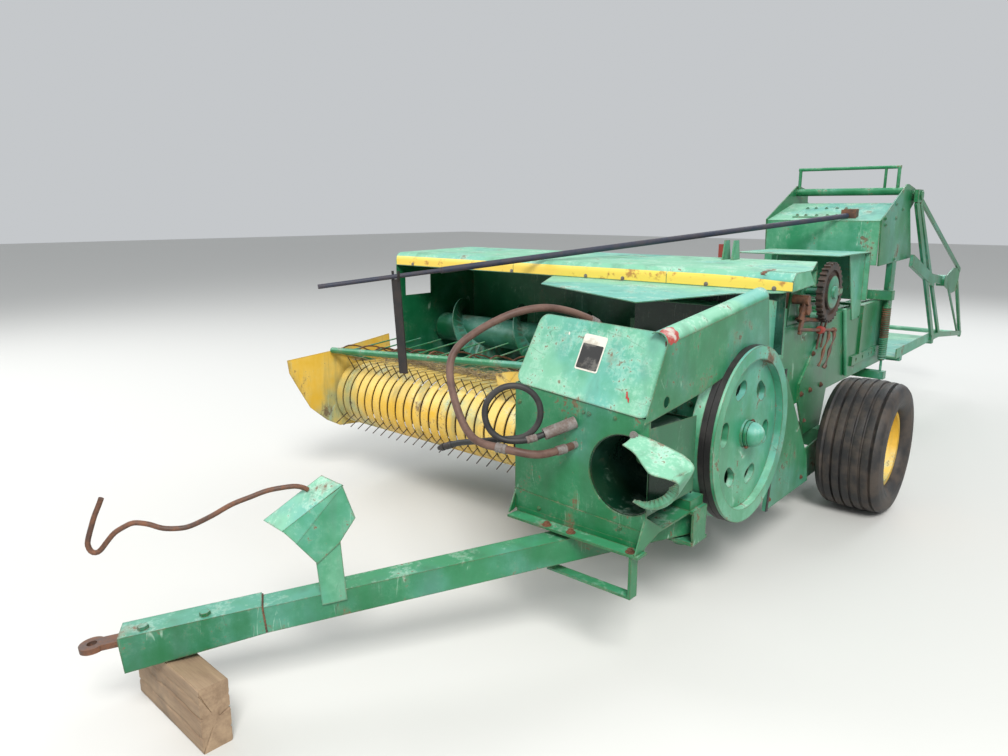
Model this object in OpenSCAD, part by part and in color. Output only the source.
// Square baler with a bale thrower, parked with its drawbar on a timber block.
// Millimetres. +Z up, ground at z = 0. Working axes: x = 0 is the middle of the
// bale chamber and +x the machine's left, y = 0 is the axle and +y is rearwards.

/* [Ground and wheels] */
// Radius of the wide left tyre, also its axle height
wheel_l_r = 355; // [330:1:380]
// Width of the left tyre
wheel_l_w = 330; // [250:1:360]
// Middle of the left tyre, across the machine
wheel_l_x = 545; // [520:1:600]
// Radius of the narrow right tyre
wheel_r_r = 330; // [310:1:350]
// Width of the right tyre
wheel_r_w = 180; // [150:1:200]
// Middle of the right tyre, across the machine
wheel_r_x = -1880; // [-1950:1:-1800]
// Rim radius at the bead, both wheels
rim_r = 200; // [180:1:215]
// Height of both spindles
axle_z = 355; // [330:1:380]

/* [Bale chamber] */
// Inside width of the chamber
bale_w = 457; // [440:1:480]
// Inside height of the chamber
bale_h = 356; // [340:1:380]
// Height of the chamber floor's top
floor_z = 630; // [600:1:660]
// Front end of the case
case_y0 = -1230; // [-1300:1:-1180]
// Rear end of the chamber
case_y1 = 1350; // [1250:1:1450]
// Thickness of the hollow case walls
case_wall = 35; // [30:1:40]

/* [Flywheel] */
// Flywheel radius
fly_r = 353; // [330:1:370]
// Flywheel rim width
fly_w = 100; // [80:1:120]
// Outer face of the flywheel, across the machine
fly_x = 500; // [480:1:520]
// Flywheel centre along the machine
fly_y = -1445; // [-1480:1:-1400]
// Flywheel centre height
fly_z = 724; // [700:1:750]
// Drive-line shaft, across the machine
shaft_x = 320; // [300:1:340]
// Front end of the drive-line shaft
shaft_y = -2000; // [-2050:1:-1950]
// Free length of the drive-line shaft
shaft_free = 340; // [300:1:360]

/* [Front housing] */
// Front plate, along the machine
front_y = -2190; // [-2250:1:-2150]
// Left edge of the front plate
front_x1 = 460; // [440:1:480]
// Right edge of the front plate
front_x0 = -100; // [-130:1:-80]
// Radius of the round drive-line hole
drive_hole_r = 140; // [120:1:150]

/* [Auger housing and cover] */
// Right end of the auger housing
house_x0 = -1995; // [-2050:1:-1950]
// Left end of the top cover
cover_x1 = 480; // [460:1:500]
// Front edge of the cover
cover_y0 = -1090; // [-1120:1:-1060]
// Rear wall of the auger housing
house_y1 = -385; // [-400:1:-370]
// Underside of the cover's front lip
cover_z0 = 1255; // [1230:1:1280]
// Top of the cover
cover_z1 = 1332; // [1320:1:1340]
// Auger flighting radius
auger_r = 196; // [180:1:200]
// Auger tube radius
auger_tube_r = 90; // [60:1:100]
// Auger axis along the machine
auger_y = -690; // [-720:1:-660]
// Auger axis height
auger_z = 830; // [800:1:860]

/* [Pickup] */
// Pickup reel axis along the machine
reel_y = -1450; // [-1480:1:-1420]
// Pickup reel axis height
reel_z = 520; // [500:1:540]
// Stripper band radius
band_r = 185; // [170:1:200]
// Spring tine reach from the reel axis
tine_r = 275; // [260:1:285]
// Spacing of the stripper bands
band_pitch = 65; // [60:1:70]
// Number of stripper bands
band_n = 24; // [20:1:25]
// Right end of the pickup
pick_x0 = -1935; // [-1950:1:-1900]
// Pivot tube that the pickup lifts about, along the machine
pick_pivot_y = -1140; // [-1150:1:-1130]
// Height of the pivot tube
pick_pivot_z = 600; // [595:1:610]

/* [Drawbar] */
// Side of the square drawbar tube
bar_w = 89; // [80:1:100]
// Drawbar swing from straight ahead, to the right
bar_yaw = 32.4; // [20:0.1:38]
// Drawbar length from its pivot to the tube's front end
bar_len = 1932; // [1850:1:1960]
// Height of the drawbar's top over its pivot
bar_top_z = 504; // [495:1:508]
// Height of the drawbar's top at its front end
bar_tip_top = 315; // [300:1:330]
// Hitch eye hole radius
eye_r = 15; // [12:0.5:18]

/* [Bale thrower] */
// Left side plate of the thrower, across the machine
ej_x1 = 300; // [280:1:320]
// Right side plate of the thrower
ej_x0 = -420; // [-450:1:-380]
// Thrower hinge, along the machine
throw_y = 1480; // [1470:1:1490]
// Thrower hinge height
throw_z = 1690; // [1680:1:1700]

/* [Hidden] */
$fn = 64;
col_green = [0.10, 0.47, 0.27];
col_pale = [0.38, 0.66, 0.53];
col_deep = [0.04, 0.30, 0.17];
col_yellow = [0.90, 0.72, 0.10];
col_black = [0.05, 0.05, 0.06];
col_steel = [0.28, 0.27, 0.27];
col_rust = [0.30, 0.18, 0.13];
col_wood = [0.50, 0.39, 0.28];
bale_hw = bale_w / 2;
case_hw = bale_hw + case_wall;
roof_z = floor_z + bale_h;
case_z0 = floor_z - case_wall;
case_z1 = roof_z + case_wall;
feed_y0 = -1000;
feed_y1 = -450;
fly_x0 = fly_x - fly_w;
pick_x1 = pick_x0 + band_n * band_pitch;
// lift pipe, its ends and the place of its hanger
pipe_a = [-1338, -2147, 1237];
pipe_b = [79, 840, 1559];
hang = [-1178, -1810, 1273];
// drawbar pivot and directions
bar_px = 398;
bar_py = -1810;
bar_z1 = bar_top_z - bar_w / 2;
bar_slope = atan2(bar_tip_top - bar_top_z, bar_len);
// the drawbar's front end in plan, and the top of the block under its doubler
tip_x = bar_px + bar_len * cos(bar_slope) * cos(-90 - bar_yaw);
tip_y = bar_py + bar_len * cos(bar_slope) * sin(-90 - bar_yaw);
block_top = bar_tip_top - bar_w - 16.7 + 58 * tan(-bar_slope);
// machine extremes, which set the origin
ext_x0 = house_x0 - 26;
ext_x1 = wheel_l_x + wheel_l_w / 2;
ext_y0 = -3543;
ext_y1 = 3517;
org = [-(ext_x0 + ext_x1) / 2, -(ext_y0 + ext_y1) / 2, 0];

module place() { translate(org) children(); }

// plate in the YZ plane, from x0 towards +x
module plate_x(x0, t, pts) {
  translate([x0, 0, 0]) rotate([90, 0, 90]) linear_extrude(t) polygon(pts);
}
// plate in the XZ plane, from y0 towards +y
module plate_y(y0, t, pts) {
  translate([0, y0 + t, 0]) rotate([90, 0, 0]) linear_extrude(t) polygon(pts);
}
module box(a, b) { translate(a) cube(b - a); }
// round rod between two points
module rod(a, b, d) {
  v = b - a;
  l = norm(v);
  translate(a) rotate([0, acos(v.z / l), atan2(v.y, v.x)]) cylinder(h = l, d = d, $fn = 32);
}
// flat or square bar between two points, w in the upright plane, t across it
module beam(a, b, w, t) {
  v = b - a;
  l = norm(v);
  translate(a) rotate([0, acos(v.z / l), atan2(v.y, v.x)])
    translate([-w / 2, -t / 2, 0]) cube([w, t, l]);
}
// round disc or tube about an X axis
module disc_x(x0, x1, y, z, r, ri = 0) {
  translate([x0, y, z]) rotate([0, 90, 0]) difference() {
    cylinder(h = x1 - x0, r = r);
    if (ri > 0) translate([0, 0, -1]) cylinder(h = x1 - x0 + 2, r = ri);
  }
}

// Bale case
module case_side(s) {
  x0 = s > 0 ? bale_hw : -case_hw;
  difference() {
    box([x0, case_y0, case_z0], [x0 + case_wall, case_y1, case_z1]);
    // hollow between the inner liner and the outer skin
    box([x0 + 5, case_y0 + 5, floor_z + 5], [x0 + case_wall - 5, case_y1 - 5, roof_z - 5]);
    // feed opening, where the auger delivers the hay
    if (s < 0) box([x0 - 1, feed_y0, floor_z + 10], [x0 + case_wall + 1, feed_y1, roof_z - 10]);
  }
}
module case_side_left() { color(col_green) place() case_side(1); }
module case_side_right() { color(col_green) place() case_side(-1); }
module case_floor() {
  color(col_green) place() {
    difference() {
      box([-bale_hw, case_y0, floor_z - 8], [bale_hw, case_y1, floor_z]);
      // needle slots
      for (x = [-105, 105]) box([x - 15, -250, floor_z - 20], [x + 15, 60, floor_z + 20]);
    }
    // cross members under the floor
    for (y = [case_y0 + 30, -900, 300, 1250])
      box([-bale_hw, y, case_z0 - 25], [bale_hw, y + 60, floor_z - 8]);
  }
}
module case_roof() {
  color(col_pale) place() difference() {
    box([-bale_hw, -1000, roof_z], [bale_hw, 380, roof_z + 8]);
    for (x = [-105, 105]) box([x - 15, -200, roof_z - 20], [x + 15, 40, roof_z + 20]);
  }
}
module chamber_rails() {
  color(col_green) place() {
    // two top rails over the open rear of the chamber, held by cross straps
    for (x = [-120, 120]) box([x - 45, 380.5, roof_z], [x + 45, case_y1, roof_z + 20]);
    for (y = [420, 800, 1290]) box([-bale_hw, y, roof_z + 20], [bale_hw, y + 50, roof_z + 34]);
    // slotted ladder rails low on the outside of both sides
    for (s = [-1, 1]) difference() {
      translate([s > 0 ? case_hw : -case_hw - 12, 0, 0]) box([0, 560, 660], [12, 1180, 720]);
      for (y = [640 : 130 : 1100])
        translate([s * (case_hw + 6), y, 690]) rotate([0, 90, 0])
          cylinder(h = 30, r = 12, center = true);
    }
    // raised frames round the sides
    for (s = [-1, 1]) for (y = [690, 1230])
      translate([s > 0 ? case_hw : -case_hw - 12, 0, 0]) box([0, y, 720], [12, y + 50, case_z1]);
  }
}

// Drive in the front
module gearbox() {
  color(col_green) place() {
    difference() {
      union() {
        box([-150, -1600, 570], [330, -1300, 900]);
        disc_x(330, 385, fly_y, fly_z, 70);
        // round input housing towards the front hole
        translate([shaft_x, -1599, fly_z]) rotate([90, 0, 0])
          cylinder(h = -1599 - shaft_y - shaft_free, r = 62);
      }
      box([-151, -1601, 870], [100, -1299, 901]);
      disc_x(345, 386, fly_y, fly_z, 30.05);
    }
    // drive-line shaft
    translate([shaft_x, shaft_y + shaft_free, fly_z]) rotate([90, 0, 0]) cylinder(h = shaft_free, r = 17.5);
  }
}
module plunger() {
  color(col_steel) place() {
    box([-bale_hw + 6, -700, floor_z + 6], [bale_hw - 6, -500, roof_z - 12]);
    for (x = [-150, 150]) box([x - 25, -1000, floor_z + 30], [x + 25, -700, floor_z + 90]);
  }
}
module crank_rod() {
  color(col_steel) place() {
    // crank disc on the gearbox output and the rod to the plunger
    disc_x(-205, -150.2, fly_y, fly_z, 90);
    beam([-182, fly_y, fly_z], [-182, fly_y + 200, 850], 70, 30);
    disc_x(-200, -60, fly_y + 200, 850, 34);
    beam([-40, fly_y + 200, 850], [-40, -703.8, 800], 80, 40);
  }
}

// Front housing
hole_x = 370;
hole_z = 725;
module front_housing() {
  color(col_green) place() {
    difference() {
      union() {
        // front plate, and the right side sheet
        plate_y(front_y, 6, [[front_x0, 490], [front_x1, 490], [front_x1, 928], [front_x0, 975]]);
        plate_x(front_x0, 6, [[front_y, 490], [-1770, 520], [-1680, 560], [-1680, 1000], [front_y, 975]]);
        // bottom flange with its sloping webs
        box([front_x0 + 15, front_y - 62, 474], [front_x1 + 12, front_y - 4, 482]);
        plate_x(front_x0, 6, [[front_y, 490], [front_y - 40, 480], [front_y, 560]]);
        plate_x(front_x1 - 6, 6, [[front_y - 60, 474], [front_y, 490], [front_y + 120, 523],
          [front_y, 600]]);
        box([front_x0 + 15, front_y - 6, 474], [front_x1, front_y + 3, 500]);
        // floor sheet and the two frame rails back under the case
        box([front_x0, front_y, 516], [front_x1, bar_py + 40, 523]);
        for (x = [front_x0 + 6, 170]) box([x, front_y + 5, 522], [x + 50, case_y0 + 90, 570]);
        // cross frame over the drawbar pivot, its two plates, web and side plate
        box([front_x0 + 20, bar_py - 60, 520], [front_x1 - 2, bar_py + 40, 560]);
        box([bar_px - 60, bar_py - 65, 514], [bar_px + 77, bar_py + 45, 524]);
        box([bar_px - 60, bar_py + 30, 515], [bar_px - 7, bar_py + 85, 525]);
        box([bar_px - 60, bar_py + 74, 390], [bar_px - 7, bar_py + 86, 524]);
        box([bar_px - 60, bar_py - 60, 388], [bar_px - 6, bar_py + 86, 400]);
        box([bar_px - 60, bar_py - 60, 388], [bar_px + 77, bar_py + 55, 400]);
        plate_x(bar_px + 69, 8, [[bar_py - 50, 389], [bar_py + 40, 389], [bar_py + 44, 523],
          [bar_py - 62, 523], [bar_py - 62, 430]]);
        translate([bar_px, bar_py, 372]) cylinder(h = 170, r = 20);
        translate([bar_px, bar_py, 366]) cylinder(h = 24, r = 30);
        // strap below the flange that the drawbar swings over
        box([front_x1 - 24, front_y - 58, 322], [front_x1 - 14, front_y - 15, 476]);
        box([100, front_y - 58, 322], [front_x1 - 16, front_y - 15, 330]);
      }
      translate([hole_x, front_y + 20, hole_z]) rotate([90, 0, 0]) cylinder(h = 60, r = drive_hole_r);
    }
    // lapped lower sheet with its seam
    difference() {
      plate_y(front_y - 4, 4, [[front_x0, 492], [front_x1, 492], [front_x1, 545], [front_x0, 568]]);
      translate([hole_x, front_y + 20, hole_z]) rotate([90, 0, 0]) cylinder(h = 60, r = drive_hole_r);
    }
  }
}
module front_hood() {
  // slanted hood sheet with rounded corners, from the plate's top edge up beside the shield
  color(col_pale) place()
    translate([front_x0, front_y - 0.1, 975]) rotate([0, 4.8, 0]) rotate([66, 0, 0])
      linear_extrude(5) soft([[0, 0], [562, 0], [535, 290], [19, 270]], 38);
}
// polygon with rounded corners
function arc_at(a, b, c, r) = let(u = unit(a - b), v = unit(c - b), h = acos(u * v) / 2,
  m = b + unit(u + v) * r / sin(h), s = atan2(b.y - m.y, b.x - m.x))
  [for (i = [-3 : 3]) m + r * [cos(s + i * (90 - h) / 3), sin(s + i * (90 - h) / 3)]];
module soft(pts, r) {
  n = len(pts);
  polygon([for (i = [0 : n - 1]) each arc_at(pts[(i + 1) % n], pts[i], pts[(i + n - 1) % n], r)]);
}
module side_shield() {
  color(col_pale) place() difference() {
    union() {
      plate_x(front_x1, 5, [[-2230, 925], [-1850, 960], [-1330, 1045], [-1260, 1055],
        [-1300, 1280], [-1370, 1285], [-2105, 1205]]);
      // rolled top edge
      rod([front_x1 - 24, -2068, 1184], [front_x1 - 24, -1330, 1262], 58);
    }
    disc_x(fly_x0 - 10, fly_x + 10, fly_y, fly_z, fly_r + 12);
    translate([front_x1, -2110, 975]) rotate([0, 90, 0]) cylinder(h = 40, r = 22, center = true);
  }
}
module guard_flap() {
  // half-round drive-line guard that hangs open from its bolt, its front edge cut askew
  path = [[404, 870], [640, 846], [653, 834], [634, 782], [612, 730], [590, 699], [555, 680],
    [510, 667], [456, 662]];
  n = len(path);
  inner = [for (i = [0 : n - 1]) let(a = path[max(0, i - 1)], b = path[min(n - 1, i + 1)],
    d = unit(b - a)) path[i] + 4 * [d.y, -d.x]];
  color(col_pale) place() difference() {
    translate([0, front_y, 0]) rotate([90, 0, 0]) linear_extrude(122)
      polygon(concat(path, [for (i = [n - 1 : -1 : 0]) inner[i]]));
    translate([395, front_y - 140, 640]) rotate([0, 0, -35]) translate([-60, -50, 0])
      cube([150, 90, 300]);
    translate([440, front_y - 140, 640]) cube([70, 75, 60]);
  }
}
module inner_panel() {
  color(col_pale) place() {
    difference() {
      plate_x(418, 4, [[-1255, 940], [-1000, 955], [-1000, 1200], [-1255, 1240]]);
      disc_x(fly_x0 - 10, fly_x + 10, fly_y, fly_z, fly_r + 12);
    }
    plate_x(case_hw, 4, [[-1000, 870], [-560, 870], [-560, 1120], [-1000, 1200]]);
    box([case_hw, -1004, 955], [420, -999, 1190]);
    // deck sheet over the feed chamber
    box([-250, -1250, 1190], [case_hw + 2, -1000, 1194]);
  }
}
module belt_guard() {
  color(col_green) place() {
    plate_x(440, 6, [[-1010, 915], [-630, 425], [-590, 285], [-1120, 285], [-1075, 600]]);
    // strip along the edge next to the wheel
    plate_x(432, 20, [[-1016, 915], [-1010, 915], [-1069, 600], [-1114, 285], [-1120, 285],
      [-1075, 600]]);
    box([case_hw, -960, 600], [440, -900, 640]);
    box([case_hw, -960, 640], [case_hw + 6, -900, 700]);
  }
}

// Auger housing
module auger_house() {
  color(col_deep) place() {
    // trough
    difference() {
      translate([house_x0, auger_y, auger_z]) rotate([0, 90, 0])
        cylinder(h = -case_hw - house_x0, r = auger_r + 36);
      translate([house_x0 - 1, auger_y, auger_z]) rotate([0, 90, 0])
        cylinder(h = -case_hw - house_x0 + 2, r = auger_r + 31);
      box([house_x0 - 1, -1000, auger_z - 30], [-case_hw + 1, house_y1 + 100, 1300]);
      box([house_x0 - 1, -1000, 500], [-case_hw + 1, auger_y - 120, 1300]);
    }
    // rear wall and lip under the front
    box([house_x0, house_y1 - 5, 620], [-case_hw, house_y1, cover_z0 + 20]);
    box([house_x0, auger_y + 200, 620], [-case_hw, house_y1 - 5, 625]);
    plate_x(house_x0 + 5, -case_hw - house_x0 - 5, [[-1090, 668], [auger_y - 120, 630],
      [auger_y - 120, 636], [-1090, 674]]);
    // shelf from the trough to the rear wall, and the lugs of the pickup's pivot
    box([house_x0, auger_y + 228, 795], [-case_hw, house_y1 - 4, 800]);
    for (x = [-1900, -450]) difference() {
      plate_x(x, 10, [[-1175, 560], [-1105, 560], [-1000, 657], [-1090, 670], [-1175, 640]]);
      disc_x(x - 1, x + 11, pick_pivot_y, pick_pivot_z, 24.05);
    }
    // right end plate, with the opening over the auger's bearing
    difference() {
      plate_x(house_x0, 5, [[-1090, 668], [-1090, 800], [-1060, 860], [-1060, 1010],
        [-1090, 1100], [-1090, cover_z0], [house_y1, cover_z0], [house_y1, 620], [-900, 620]]);
      box([house_x0 - 5, -1020, 1060], [house_x0 + 12, -800, 1200]);
      disc_x(house_x0 - 5, house_x0 + 12, auger_y, auger_z, 25.05);
    }
    // main cross beam under the trough, out to the right wheel
    box([house_x0 + 40, house_y1 - 150, 520], [-case_hw, house_y1 - 50, 620]);
    // bearing boss of the auger
    disc_x(house_x0 - 20, house_x0, auger_y, auger_z, 60, 25.05);
  }
}
module cover() {
  color(col_pale) place() {
    // folded cover: front face, rounded shoulder and sloping top
    r = 45;
    difference() {
      translate([house_x0, 0, 0]) rotate([90, 0, 90]) linear_extrude(cover_x1 - house_x0)
        difference() {
          union() {
            translate([cover_y0 + r, cover_z1 - r]) circle(r = r);
            polygon([[cover_y0, cover_z0], [cover_y0, cover_z1 - r], [cover_y0 + r, cover_z1 - r],
              [cover_y0 + r, cover_z1], [-420, cover_z1 + 12], [-330, cover_z1 - 30],
              [-330, cover_z0 - 40], [-335, cover_z0 - 40], [-335, cover_z1 - 36],
              [-422, cover_z1 + 7], [cover_y0 + r, cover_z1 - 5], [cover_y0 + r, cover_z0]]);
          }
          translate([cover_y0 + r, cover_z1 - r]) circle(r = r - 5);
          translate([cover_y0 + 5, cover_z0 - 1]) square([r + 10, cover_z1 - r - cover_z0 + 1]);
          translate([cover_y0 + r, cover_z1 - 2 * r]) square([r, 2 * r - 5.01]);
          translate([cover_y0 - 1, cover_z0 - 60]) square([r + 20, 60]);
        }
      // left end slants back behind the shoulder, open over the knotter's gear
      translate([0, 0, cover_z0 - 60]) linear_extrude(200)
        polygon([[cover_x1 + 1, -880], [cover_x1 + 90, -880], [cover_x1 + 90, -300], [cover_x1 - 170, -300]]);
      // seams between the three sheets
      for (x = [-1040, -110])
        box([x - 1.5, cover_y0 - 1, cover_z0 - 1], [x + 1.5, cover_y0 + 1.5, cover_z1]);
    }
    // left end, turned down
    plate_x(cover_x1 - 5, 5, [[cover_y0, cover_z0], [cover_y0, cover_z1 - 30],
      [cover_y0 + 30, cover_z1], [-900, cover_z1 + 1], [-830, 1270]]);
  }
}
module cover_flap() {
  // loose sheet that lies from under the cover's lip out over the crank opening
  color(col_pale) place() translate([0, 0, cover_z0 - 4]) linear_extrude(4)
    polygon([[-760, -1060], [-760, -1110], [-550, -1470], [170, -1820], [310, -1270], [450, -1120],
      [450, -1060]]);
}
module cover_lugs() {
  color(col_pale) place() for (x = [-90, -40])
    plate_x(x, 8, [[-560, cover_z1 + 9.4], [-470, cover_z1 + 11.2], [-490, 1440], [-540, 1440]]);
}

// Running gear
module axle_beam() {
  color(col_green) place() {
    box([wheel_r_x + 120, -50, 300], [316, 50, 400]);
    // uprights from the beam to the case and to the auger housing
    for (x = [-case_hw, case_hw - 60]) box([x, -50, 399], [x + 60, 50, case_z0]);
    x = wheel_r_x + 180;
    box([x, -50, 399], [x + 60, 50, 560]);
    box([x, house_y1 - 50, 559], [x + 60, 50, 619]);
    box([x, house_y1 - 50, 519], [x + 60, house_y1 - 49, 560]);
    // right spindle
    disc_x(wheel_r_x - 60, wheel_r_x + 121, 0, wheel_r_r, 24.95);
  }
}
module wheel_plate() {
  color(col_green) place() {
    plate_x(316, 10, [[-360, 175], [270, 175], [270, 400], [-360, 340]]);
    box([264, -360, 175], [317, 270, 185]);
    // case plate over the axle
    plate_x(case_hw, 10, [[-310, 600], [-190, 400], [60, 400], [120, 600], [60, 800], [-70, 905],
      [-310, 700]]);
    // left spindle
    disc_x(325, wheel_l_x + 60, 0, axle_z, 24.95);
  }
}

// Knotter
gear_y = -90;
gear_z = 1165;
gear_x = 292;
gear_r = 160;
module knotter_frame() {
  color(col_deep) place() {
    // shaft across the chamber, its stands and the near bracket
    disc_x(-240, gear_x + 46, gear_y, gear_z, 18.45);
    for (x = [-200, 180]) plate_x(x, 12, [[gear_y - 90, roof_z + 8], [gear_y + 90, roof_z + 8],
      [gear_y + 40, gear_z + 40], [gear_y - 40, gear_z + 40]]);
    plate_x(case_hw - 24, 10, [[-500, case_z1], [-350, case_z1], [-340, 1230], [-460, 1260]]);
  }
}
module knotter_tools() {
  color(col_rust) place() {
    // two knotters between the stands
    for (x = [-105, 105]) {
      disc_x(x - 14, x + 14, gear_y, gear_z, 118, 19);
      box([x - 30, gear_y - 60, roof_z + 8], [x + 30, gear_y + 60, roof_z + 55]);
      disc_x(x + 18, x + 42, gear_y, gear_z - 60, 41.2);
      rod([x, gear_y + 50, roof_z + 40], [x, gear_y + 130, roof_z + 90], 22);
    }
    // trip hub and arm, and the long rusty rod with its collar and strips
    disc_x(case_hw - 13.8, case_hw + 66, -440, 1155, 24);
    beam([case_hw + 50, -440, 1155], [case_hw + 40, -474, 1060], 26, 12);
    rod([case_hw + 12.5, -430, 1055], [case_hw + 12.5, 80, 995], 20);
    rod([case_hw + 12.5, -400, 1051], [case_hw + 12.5, -350, 1045], 34);
    for (y = [10, -60]) beam([case_hw + 13.1, y, 1004], [case_hw + 13.1, y - 50, 860], 16, 6);
  }
}
module knotter_shield() {
  color(col_pale) place() {
    box([-300, 60, 1345], [300, 640, 1350]);
    plate_x(case_hw, 5, [[500, 950], [640, 950], [640, 1346], [340, 1346]]);
    box([-300, 635, 1060], [300, 640, 1346]);
    for (s = [-1, 1]) rod([s * 250, 610, case_z1], [s * 250, 610, 1346], 16);
    // upright rod on the near side
    rod([case_hw + 11.3, 320, 1035], [case_hw + 11.3, 450, 625], 22);
  }
}
module tension_gear() {
  color(col_green) place() {
    // cross channel over the chamber and one under it, drawn together by screws
    box([-340, 1050, roof_z + 40], [340, 1110, roof_z + 100]);
    box([-340, 1050, case_z0 - 90], [340, 1110, case_z0 - 40]);
    for (s = [-1, 1]) {
      rod([s * 310, 1080, case_z0 - 110], [s * 310, 1080, roof_z + 150], 16);
      for (z = [640 : 14 : 980]) translate([s * 310, 1080, z]) rotate_extrude($fn = 24)
        translate([22, 0]) circle(r = 4.5, $fn = 8);
      translate([s * 310, 1080, 630]) cylinder(h = 366, r = 18.5);
    }
    for (x = [-120, 120]) box([x - 12, 1060, roof_z + 20], [x + 12, 1100, roof_z + 40]);
    for (x = [-120, 120]) box([x - 12, 1060, case_z0 - 40], [x + 12, 1100, floor_z - 8]);
  }
}

// Lift pipe
module lift_pipe() {
  color([0.13, 0.15, 0.24]) place() {
    u = (pipe_b - pipe_a) / norm(pipe_b - pipe_a);
    rod(pipe_a, pipe_a + u * 610, 22);
    rod(pipe_a + u * 609, pipe_b, 32);
  }
}
module lift_hook() {
  color(col_black) place() {
    // flat hanger with its two-pronged hook, hung on the pipe
    beam(hang + [0, 0, -13], [-1150, -1800, 795], 45, 8);
    for (s = [-1, 1]) beam(hang + [s * 18.3, 0, -22], hang + [s * 18.3, s * 3, 26], 9, 8);
  }
}

// Bale thrower
module strap_post() {
  color([0.5, 0.1, 0.07]) place() {
    // red strap from the dark rail behind the cover up to the pipe
    box([-352, -44, 1195], [-324, -34, 1397]);
    box([-352, -44, 1391], [-324, 6, 1397]);
    box([-600, house_y1, 1240], [200, house_y1 + 30, 1270]);
    box([-352, house_y1 + 24, 1195], [-324, house_y1 + 30, 1250]);
    box([-352, house_y1 + 24, 1195], [-324, -34, 1203]);
  }
}
module pipe_bracket() {
  color(col_rust) place() difference() {
    plate_x(40, 90, [[847, 1542.5], [900, 1556], [900, 1600], [847, 1600]]);
    box([39, 846, 1596], [131, 890, 1601]);
  }
}

module thrower_sides() {
  color(col_green) place() {
    for (s = [-1, 1]) {
      x = s < 0 ? ej_x0 : ej_x1 - 8;
      plate_x(x, 8, [[790, 1535], [1290, 1760], [1340, 1760], [throw_y + 30, throw_z + 45],
        [throw_y + 40, throw_z - 40], [1430, 1600], [1590, 1275], [820, 1255]]);
      // hinge boss, pin and nut outside each plate
      o = s < 0 ? ej_x0 : ej_x1;
      disc_x(min(o, o + s * 20), max(o, o + s * 20), throw_y, throw_z, 34);
      disc_x(min(o, o + s * 50), max(o, o + s * 50), throw_y, throw_z, 20);
      disc_x(min(o + s * 48, o + s * 56), max(o + s * 48, o + s * 56), throw_y, throw_z, 30);
    }
    // legs down to the chamber's sides
    box([case_hw, 1140, 720], [ej_x1, 1230, 1275]);
    box([ej_x0, 1140, 720], [ej_x0 + 30, 1230, 1275]);
    box([ej_x0 + 30, 1140, 1000], [-case_hw, 1230, 1060]);
    // cross tube between the tops
    disc_x(ej_x0 + 1, ej_x1 - 1, 1300, 1715, 25);
  }
}
module thrower_deck() {
  color(col_pale) place() {
    // sloping deck, its front face and the bolted doubler
    plate_x(ej_x0 + 8, ej_x1 - ej_x0 - 16, [[800, 1524], [1240, 1634], [1240, 1640], [798, 1530],
      [794, 1260], [800, 1260]]);
    translate([-270, 860, 1545]) rotate([14, 0, 0]) cube([300, 220, 8]);
  }
}
module thrower_rail() {
  color(col_green) place() {
    for (x = [ej_x0 + 20, ej_x1 - 60]) rod([x, 1300, 1740.3], [x, 1300, 1870], 22);
    rod([ej_x0 + 9, 1300, 1870], [ej_x1 - 49, 1300, 1870], 22);
    rod([ej_x1 - 140, 1300, 1740.3], [ej_x1 - 140, 1300, 1870], 18);
  }
}
module thrower_arms() {
  color(col_green) place() for (s = [ej_x0 - 34, ej_x1 + 34]) {
    // hinge head, twin posts and long brace
    difference() {
      box([s - 12, throw_y - 80, throw_z - 45], [s + 12, throw_y + 45, throw_z + 38]);
      disc_x(s - 13, s + 13, throw_y, throw_z, 20.05);
    }
    beam([s, 1425, 1652], [s, 2385, 625], 60, 18);
    beam([s, 1525, 1648], [s, 2600, 625], 44, 16);
    beam([s, 1515, 1672], [s, 3130, 1105], 34, 14);
    // foot, thick lower arm, joint boss and the rear triangle
    box([s - 10, 2335, 602.5], [s + 10, 2660, 642]);
    beam([s, 1470, 1262], [s, 2200, 1066], 80, 24);
    beam([s, 1950, 1125], [s, 2560, 1050], 60, 22);
    disc_x(s - 30, s + 30, 2480, 1060, 44);
    plate_x(s - 5, 10, [[2460, 1045], [2870, 1135], [3130, 1130], [3100, 940], [2900, 930]]);
    beam([s, 3080, 1000], [s, 3500, 505], 40, 20);
    beam([s, 2580, 622], [s, 3515, 524], 40, 19);
    beam([s, 2700, 1030], [s, 3380, 542], 20, 12);
  }
}
module thrower_pan() {
  color(col_pale) place() {
    box([ej_x0 - 24, 1400, 590], [ej_x1 + 24, 2560, 602]);
    for (x = [ej_x0 - 24, ej_x1 + 16]) box([x, 1400, 602], [x + 8, 2560, 660]);
    for (y = [1500, 2450]) box([ej_x0 - 24, y, 560], [ej_x1 + 24, y + 60, 590]);
    disc_x(ej_x0 - 24, ej_x1 + 24, 3480, 522, 20);
  }
}

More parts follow.
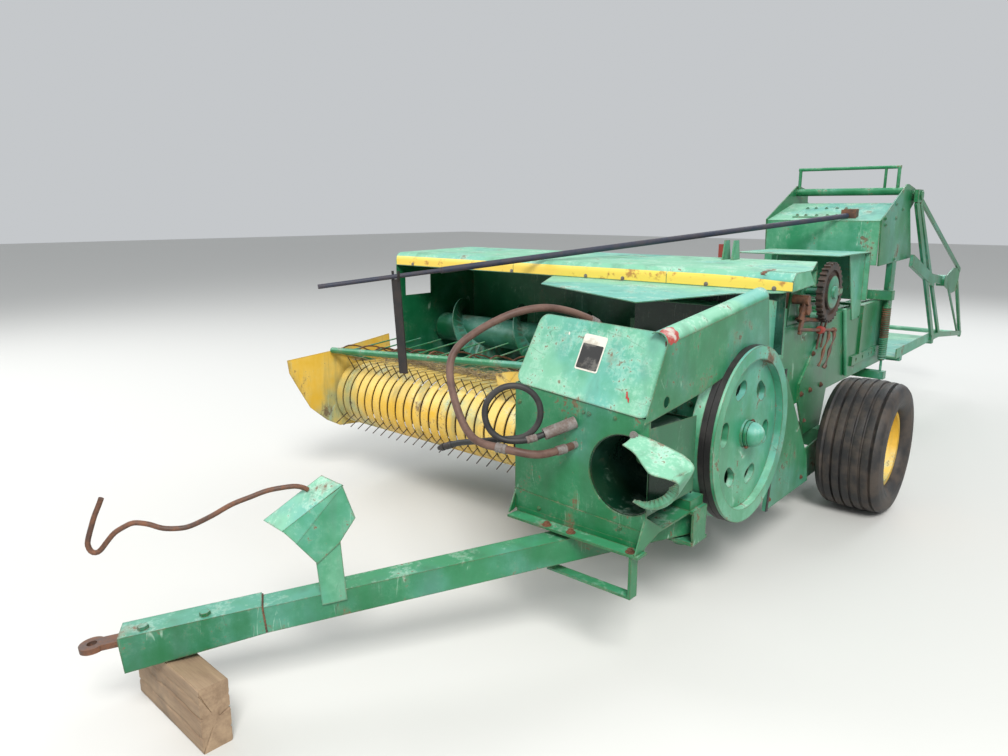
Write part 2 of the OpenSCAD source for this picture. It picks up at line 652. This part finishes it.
// Drawbar
module bar_frame() {
  // local: origin on the pivot, +x along the bar to its front end
  translate([bar_px, bar_py, bar_z1]) rotate([0, 0, -90 - bar_yaw]) rotate([0, -bar_slope, 0])
    children();
}
module bar_tube() {
  color(col_green) place() difference() {
    union() {
      bar_frame() difference() {
        union() {
          translate([-45, -bar_w / 2, -bar_w / 2]) cube([bar_len + 45, bar_w, bar_w]);
          // channel doubler on the front end and its bolt heads
          translate([bar_len - 420, -bar_w / 2 - 4, bar_w / 2]) cube([420, bar_w + 8, 8]);
          for (y = [-bar_w / 2, bar_w / 2 + 4])
            translate([0, y, 0]) rotate([90, 0, 0]) linear_extrude(4)
              polygon([[bar_len - 420, bar_w / 2], [bar_len + 1, bar_w / 2],
                [bar_len + 1, -bar_w / 2 - 22], [bar_len - 420, 2 - bar_w / 2]]);
          for (x = [70, 250]) translate([bar_len - x, 18, bar_w / 2 + 7])
            cylinder(h = 12, r = 17, $fn = 6);
        }
        translate([-46, -bar_w / 2 + 6, -bar_w / 2 + 6]) cube([bar_len + 48, bar_w - 12, bar_w - 12]);
      }
      // sleeve round the pivot pin
      intersection() {
        translate([bar_px, bar_py, 404]) cylinder(h = 108, r = 34);
        bar_frame() translate([-44, -bar_w / 2, -bar_w / 2]) cube([120, bar_w, bar_w]);
      }
    }
    translate([bar_px, bar_py, 340]) cylinder(h = 220, r = 20.05);
  }
}
module bar_eye() {
  color(col_rust) place() bar_frame() difference() {
    union() {
      translate([bar_len + 82, 0, 14]) cylinder(h = 18, r = 38);
      translate([bar_len - 90, -26, 14]) cube([172, 52, 18]);
      translate([bar_len - 90, -bar_w / 2 + 6, 8]) cube([60, bar_w - 12, bar_w / 2 - 14]);
    }
    translate([bar_len + 82, 0, 10]) cylinder(h = 26, r = eye_r);
  }
}
// plate on the plane through o, o + u and o + w, its first axis along u
module plate_at(o, u, w, t, pts) {
  a = unit(u);
  c = unit(cross(u, w));
  b = cross(c, a);
  multmatrix([[a.x, b.x, c.x, o.x], [a.y, b.y, c.y, o.y], [a.z, b.z, c.z, o.z], [0, 0, 0, 1]])
    linear_extrude(t) polygon(pts);
}
module bar_stand() {
  v = bar_w / 2;
  top = [1211, v + 15, 407];
  color(col_pale) place() bar_frame() {
    // leaning strap post on the bar's side
    translate([0, v + 9, 0]) rotate([90, 0, 0]) linear_extrude(9)
      polygon([[1249, 12], [1329, 12], [1326, 190], [1242, 215]]);
    // folded cap: upright face, face tilted back along the fold, and the flange on its upper edge
    translate([0, v + 15, 0]) rotate([90, 0, 0]) linear_extrude(7)
      polygon([[1211, 407], [1185, 288], [1214, 253], [1245, 215], [1323, 160], [1378, 244]]);
    plate_at(top, [167, 0, -163], [202, -25, -124], 7, [[0, -4], [233, -4], [231, 58]]);
    plate_at(top, [202, -25, -124], [56, -94, 10], 6, [[-1, -1.5], [239, -1.5], [290, 97], [52, 97]]);
  }
}
module bar_hook_rod() {
  // bent stay rod, hooked in the cap and standing free at its other end
  color(col_rust) place() bar_frame() hose([[1315.6, -21.3, 381.9], [1328, -19, 392], [1352, -16, 403],
    [1390, -14, 407], [1439, -12, 407], [1491, -8, 398], [1547, -4, 387], [1610, 0, 364],
    [1674, 0, 345], [1711, 0, 345],
    [1752, 0, 355], [1790, 0, 377], [1827, 0, 389], [1856, 0, 382], [1884, 0, 369], [1907, 0, 348],
    [1931, 0, 324], [1945, 0, 319], [1957, -2, 326], [1962, -4, 345], [1958, -6, 363], [1943, -8, 398],
    [1928, -10, 430], [1912, -12, 458], [1900, -12, 480]], 8);
}
module timber() {
  color(col_wood) place()
    translate([tip_x + 308, tip_y + 74, 0]) rotate([0, 0, -2]) translate([-450, 0, 0])
      cube([450, 95, block_top]);
}

// Turning pieces
module oval(l, r) {
  translate([-r, -l / 2]) square([2 * r, l]);
  for (v = [-1, 1]) translate([0, v * l / 2]) circle(r = r);
}
module flywheel() {
  color(col_green) place() translate([fly_x0, fly_y, fly_z]) rotate([0, 90, 0]) {
    difference() {
      cylinder(h = fly_w, r = fly_r, $fn = 96);
      // dished faces on both sides
      translate([0, 0, fly_w - 32]) cylinder(h = 40, r = fly_r * 0.854, $fn = 96);
      translate([0, 0, -8]) cylinder(h = 50, r = fly_r * 0.854, $fn = 96);
      // belt groove
      translate([0, 0, 40]) difference() {
        cylinder(h = 48, r = fly_r + 5, $fn = 96);
        translate([0, 0, -1]) cylinder(h = 50, r = fly_r - 12, $fn = 96);
      }
      for (a = [0 : 60 : 300]) rotate(a + 20) translate([fly_r * 0.56, 0, -10])
        linear_extrude(fly_w + 20) oval(34, 32);
    }
    // stub shaft in the gearbox bearing
    translate([0, 0, -54]) cylinder(h = 60, r = 30);
    // hub, split collar and domed cap
    cylinder(h = fly_w - 24, r = 56);
    cylinder(h = fly_w - 6, r = 44);
    translate([0, 0, fly_w - 6]) intersection() {
      sphere(r = 50);
      cylinder(h = 50, r = 50);
    }
  }
}
module belts() {
  color(col_black) place() translate([fly_x0, fly_y, fly_z]) rotate([0, 90, 0])
    for (z = [41, 65]) translate([0, 0, z]) difference() {
      cylinder(h = 22, r = fly_r + 2, $fn = 96);
      translate([0, 0, -1]) cylinder(h = 24, r = fly_r - 12, $fn = 96);
    }
}
aug_x0 = house_x0 + 30;
aug_x1 = -case_hw - 40;
aug_pitch = 500;
aug_t = 6;
aug_n = 72;
flight_ri = auger_tube_r / cos((aug_x1 - aug_x0 - 260) / aug_pitch * 180 / aug_n) + 0.35;
module flight(len, n) {
  pts = [for (i = [0 : n]) let(f = i / n, a = f * len / aug_pitch * 360, x = f * len)
    each [[x, flight_ri * cos(a), flight_ri * sin(a)], [x, auger_r * cos(a), auger_r * sin(a)],
      [x + aug_t, auger_r * cos(a), auger_r * sin(a)],
      [x + aug_t, flight_ri * cos(a), flight_ri * sin(a)]]];
  faces = [[0, 1, 2, 3], [n * 4 + 3, n * 4 + 2, n * 4 + 1, n * 4],
    for (i = [0 : n - 1]) for (k = [0 : 3]) let(p = i * 4 + k, q = i * 4 + (k + 1) % 4)
      each [[p, p + 4, q], [q, p + 4, q + 4]]];
  polyhedron(points = pts, faces = faces);
}
module auger() {
  color(col_deep) place() {
    disc_x(aug_x0, aug_x1, auger_y, auger_z, auger_tube_r);
    disc_x(house_x0 - 26, aug_x0 + 1, auger_y, auger_z, 25);
    // paddle at the delivery end
    for (a = [0, 180]) translate([aug_x1 - 230, auger_y, auger_z]) rotate([a, 0, 0])
      translate([0, -5, 0]) cube([200, 10, auger_r - 10]);
  }
}
// flight: one swept helical strip round the tube
module auger_flight() {
  color(col_deep) place() translate([aug_x0 + 20, auger_y, auger_z]) flight(aug_x1 - aug_x0 - 260, aug_n);
}
module gear_wheel() {
  color(col_steel) place() translate([gear_x, gear_y, gear_z]) rotate([0, 90, 0]) difference() {
    union() {
      difference() {
        // rim with wide teeth
        linear_extrude(34) {
          circle(r = gear_r - 12, $fn = 96);
          for (a = [0 : 12 : 348]) rotate(a) translate([gear_r - 22, -6]) square([22, 12]);
        }
        translate([0, 0, 22]) cylinder(h = 20, r = gear_r - 40);
      }
      // inner disc with its cam arm
      translate([0, 0, 20]) cylinder(h = 17, r = 92);
      translate([-22, 0, 30]) cube([44, 125, 16]);
    }
    translate([0, 0, -1]) cylinder(h = 70, r = 18.5);
  }
}

// Pickup
module pickup_frame() {
  color(col_green) place() {
    difference() {
      union() {
        // rear tube on the lift pivot, arms and hubs at both ends
        disc_x(pick_x0 - 10, pick_x1 + 20, pick_pivot_y, pick_pivot_z, 24);
        for (x = [pick_x0 - 9, pick_x1 + 11])
          plate_x(x, 8, [[pick_pivot_y + 11, pick_pivot_z + 18], [reel_y - 12, reel_z + 33],
            [reel_y - 12, reel_z - 33], [pick_pivot_y + 11, pick_pivot_z - 18]]);
        disc_x(pick_x0 - 20, pick_x0 + 1, reel_y, reel_z, 50);
        disc_x(pick_x1 + 3, pick_x1 + 34, reel_y, reel_z, 50);
        // sheet up from the tube that holds the bands' rear ends
        difference() {
          box([pick_x0 - 6, pick_pivot_y - 12, pick_pivot_z + 2], [pick_x1 + 16, pick_pivot_y - 6, 686]);
          for (x = [-1907, -457])
            box([x, pick_pivot_y - 40, pick_pivot_z + 1], [x + 24, pick_pivot_y, 687]);
        }
      }
      disc_x(pick_x0 - 21, pick_x0 + 2, reel_y, reel_z, 15.05);
      disc_x(pick_x1 + 2, pick_x1 + 35, reel_y, reel_z, 15.05);
    }
  }
}
module wind_guard() {
  color(col_green) place() {
    // bar across the front with its side arms and rods
    rod([pick_x0 - 6, -1640, 795], [pick_x1 + 8, -1599, 897], 34);
    for (i = [0 : 7]) let(t = (120 + i * 170) / (pick_x1 - 20 - pick_x0), x = pick_x0 + 120 + i * 170)
      rod([x, -1640 + t * 40, 795 + t * 100], [x + 20, -1240, 838 + i * 12], 8);
    rod([pick_x0 - 5, -1640, 795], [pick_x0 - 5, pick_pivot_y - 15.1, pick_pivot_z + 31], 18);
    rod([pick_x1 + 5, -1600, 893], [pick_x1 + 5, pick_pivot_y - 16.8, pick_pivot_z + 32], 18);
  }
}
module pickup_bands() {
  color(col_yellow) place() for (i = [0 : band_n - 1])
    translate([pick_x0 + i * band_pitch + 6, reel_y, reel_z]) rotate([90, 0, 90])
      linear_extrude(band_pitch - 12) {
        difference() {
          circle(r = band_r, $fn = 64);
          circle(r = band_r - 4, $fn = 64);
          translate([0, -band_r - 5]) square([band_r + 5, 2 * band_r + 10]);
        }
        polygon([[0, band_r - 4], [300, 166], [300, 170], [0, band_r]]);
        polygon([[0, -band_r], [70, 2 - band_r], [70, 6 - band_r], [0, 4 - band_r]]);
      }
}
module pickup_shield() {
  color(col_yellow) place() {
    // right end shield: creased sheet with a torn corner
    plate_x(pick_x0 - 24, 4, [[-1935, 775], [-1925, 700], [-1870, 600], [-1800, 480], [-1690, 385],
      [-1600, 335], [-1440, 320], [-1250, 420], [-1180, 640], [-1200, 840], [-1640, 790]]);
    plate_x(pick_x1 + 34, 4, [[-1700, 560], [-1560, 380], [-1440, 330], [-1250, 420], [-1180, 640],
      [-1250, 760], [-1640, 760]]);
  }
}
reel_bars = 4;
module reel() {
  color(col_steel) place() {
    disc_x(pick_x0 - 16, pick_x1 + 28, reel_y, reel_z, 15);
    for (x = [pick_x0 + 20, (pick_x0 + pick_x1) / 2, pick_x1 - 26]) disc_x(x, x + 6, reel_y, reel_z, 130);
    for (k = [0 : reel_bars - 1]) let(a = k * 360 / reel_bars + 30)
      translate([0, reel_y, reel_z]) rotate([a, 0, 0]) {
        translate([pick_x0 + 8, 125, 0]) rotate([0, 90, 0])
          cylinder(h = pick_x1 - pick_x0 - 16, r = 13, $fn = 24);
        for (i = [1 : band_n - 1])
          translate([pick_x0 + i * band_pitch, 125, 0]) rotate([-90, 0, 0])
            cylinder(h = tine_r - 125, r = 2.6, $fn = 8);
      }
  }
}

// Wheels
module tyre(r, w, rb) {
  // ribbed implement tyre about Z, centred
  h = w / 2;
  b = w * 0.35 - 13;
  rotate_extrude($fn = 72) difference() {
    polygon([[rb, -b], [rb + 8.3, -b - 6.6], [rb + 8.5, -b - 17], [rb + 18, -h * 0.86],
      [rb + (r - rb) * 0.45, -h], [r - 28, -h * 0.93],
      [r - 8, -h * 0.78], [r, -h * 0.6], [r, h * 0.6], [r - 8, h * 0.78], [r - 28, h * 0.93],
      [rb + (r - rb) * 0.45, h], [rb + 18, h * 0.86],
      [rb + 8.5, b + 17], [rb + 8.3, b + 6.6], [rb, b]]);
    for (k = [-2 : 2]) translate([r - 9, k * h * 0.28 - 4]) square([12, 8]);
  }
}
module rim(w, rb) {
  // wheel disc with a well, a flange at each bead and a hub bore
  h = w / 2 * 0.7;
  rotate_extrude($fn = 72) polygon([[rb - 16, -h], [rb + 8, -h], [rb + 8, -h + 5], [rb - 0.3, -h + 12],
    [rb - 0.3, h - 12], [rb + 8, h - 5], [rb + 8, h], [rb - 16, h], [rb - 22, h * 0.5], [rb - 30, 22],
    [90, 30], [60, 60], [25, 60], [25, -30], [60, -30], [60, 6], [rb - 34, 6], [rb - 22, -h * 0.5]]);
}
module tyre_left() {
  color(col_black) place() translate([wheel_l_x, 0, axle_z]) rotate([0, 90, 0])
    tyre(wheel_l_r, wheel_l_w, rim_r);
}
module rim_left() {
  color(col_yellow) place() translate([wheel_l_x, 0, axle_z]) rotate([0, 90, 0]) rim(wheel_l_w, rim_r);
}
module tyre_right() {
  color(col_black) place() translate([wheel_r_x, 0, wheel_r_r]) rotate([0, -90, 0])
    tyre(wheel_r_r, wheel_r_w, rim_r);
}
module rim_right() {
  color(col_yellow) place() translate([wheel_r_x, 0, wheel_r_r]) rotate([0, -90, 0]) rim(wheel_r_w, rim_r);
}

// Hoses
// tube swept along route points, one ring a point
function unit(v) = v / norm(v);
module hose(p, r) {
  n = len(p);
  k = 10;
  rings = [for (i = [0 : n - 1]) let(
    t = unit(i == 0 ? p[1] - p[0] : i == n - 1 ? p[n - 1] - p[n - 2] : p[i + 1] - p[i - 1]),
    e = unit(cross(t, abs(t.y) < 0.9 ? [0, 1, 0] : [1, 0, 0])), f = cross(t, e))
    each [for (j = [0 : k - 1]) p[i] + r * (cos(j * 360 / k) * e + sin(j * 360 / k) * f)]];
  polyhedron(points = rings, faces = [[for (j = [0 : k - 1]) j],
    [for (j = [k - 1 : -1 : 0]) (n - 1) * k + j],
    for (i = [0 : n - 2]) for (j = [0 : k - 1]) let(a = i * k + j, b = i * k + (j + 1) % k)
      each [[a, a + k, b], [b, a + k, b + k]]]);
}
// brown hose: from the lower stub, under the ring, up in front and back over the gearbox
brown = [[172, -2213, 792], [171, -2234, 791], [163, -2260, 788], [150, -2290, 784],
  [133, -2322, 781], [110, -2356, 784], [70, -2392, 794], [12, -2419, 803], [-50, -2430, 808],
  [-105, -2428, 826], [-158, -2418, 872], [-208, -2400, 935], [-252, -2375, 1000],
  [-274, -2348, 1055], [-268, -2316, 1102], [-236, -2270, 1146], [-186, -2210, 1190],
  [-130, -2140, 1224], [-76, -2060, 1236], [-34, -1980, 1222], [0, -1900, 1192], [24, -1840, 1160]];
// black hose: one full turn, then its loose end towards the pickup
black = [[106, -2285, 837], [92, -2306, 829], [72, -2334, 821], [47, -2365, 820], [22, -2385, 822],
  [-2, -2403, 834], [-21, -2417, 856], [-33, -2425, 885], [-38, -2427, 917], [-34, -2422, 949],
  [-22, -2409, 976], [-4, -2392, 997], [18, -2371, 1008], [41, -2348, 1008], [63, -2327, 997],
  [81, -2310, 977], [92, -2297, 949], [96, -2292, 918], [92, -2293, 886], [80, -2302, 857],
  [61, -2316, 835], [38, -2334, 822], [-12, -2371, 815], [-52, -2383, 806], [-102, -2384, 793],
  [-155, -2374, 778], [-230, -2362, 755], [-305, -2358, 725]];
module hose_brown() { color([0.22, 0.12, 0.10]) place() hose(brown, 14); }
module hose_black() { color(col_black) place() hose(black, 11); }
module hose_stubs() {
  color(col_steel) place() {
    // lower and upper ports, and the slanting cylinder end
    rod([172, front_y - 0.5, 792], [172, -2212, 792], 26);
    difference() {
      rod([172, -2193, 874], [106, -2284, 837], 42);
      box([100, front_y, 800], [240, front_y + 40, 940]);
    }
  }
}

case_side_left();
case_side_right();
case_floor();
case_roof();
chamber_rails();
gearbox();
plunger();
crank_rod();
front_housing();
front_hood();
side_shield();
guard_flap();
inner_panel();
belt_guard();
auger_house();
cover();
cover_flap();
cover_lugs();
axle_beam();
wheel_plate();
knotter_frame();
knotter_tools();
knotter_shield();
tension_gear();
lift_pipe();
lift_hook();
strap_post();
pipe_bracket();
thrower_sides();
thrower_deck();
thrower_rail();
bar_tube();
bar_eye();
bar_stand();
bar_hook_rod();
timber();
flywheel();
belts();
auger();
auger_flight();
gear_wheel();
pickup_frame();
wind_guard();
pickup_bands();
pickup_shield();
reel();
tyre_left();
rim_left();
tyre_right();
rim_right();
thrower_arms();
thrower_pan();
hose_brown();
hose_black();
hose_stubs();
